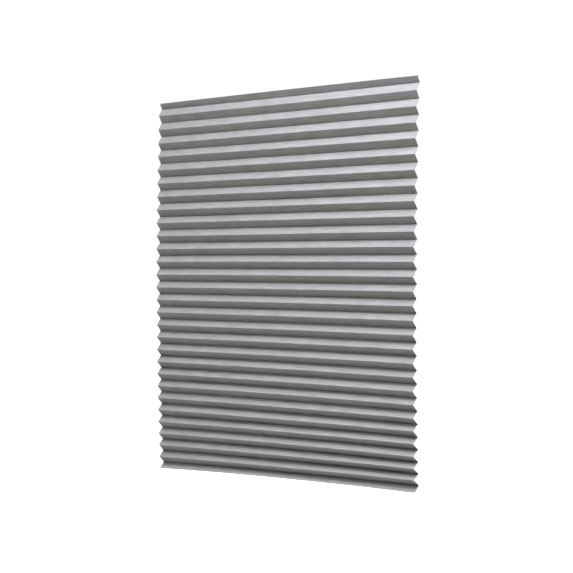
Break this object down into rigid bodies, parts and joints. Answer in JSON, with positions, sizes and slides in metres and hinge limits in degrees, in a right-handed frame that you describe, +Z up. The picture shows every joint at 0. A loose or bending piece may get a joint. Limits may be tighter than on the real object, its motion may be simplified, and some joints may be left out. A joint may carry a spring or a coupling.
{
  "type": "pleated blind",
  "caption": "Cordless pleated window blind: one sheet folded into horizontal pleats, hanging open, stuck up by its top facet.",
  "frame": {"origin": "centre of the adhesive strip's sticking face, on the rear of the top facet", "axes": "+X along the folds to the blind's right edge as seen from the room, +Z up, and the blind's front faces -Y"},
  "size_m": [1.2, 0.0307, 1.1852],
  "materials": {
    "sheet": "matt mid-grey non-woven polyester sheet with a fine fibre grain, pressed into sharp pleats",
    "strip": "off-white double-sided foam strip with a smooth release paper face"
  },
  "bodies": {
    "root": {"pleated_sheet": "sheet", "adhesive_strip": "strip"}
  },
  "joints": []
}
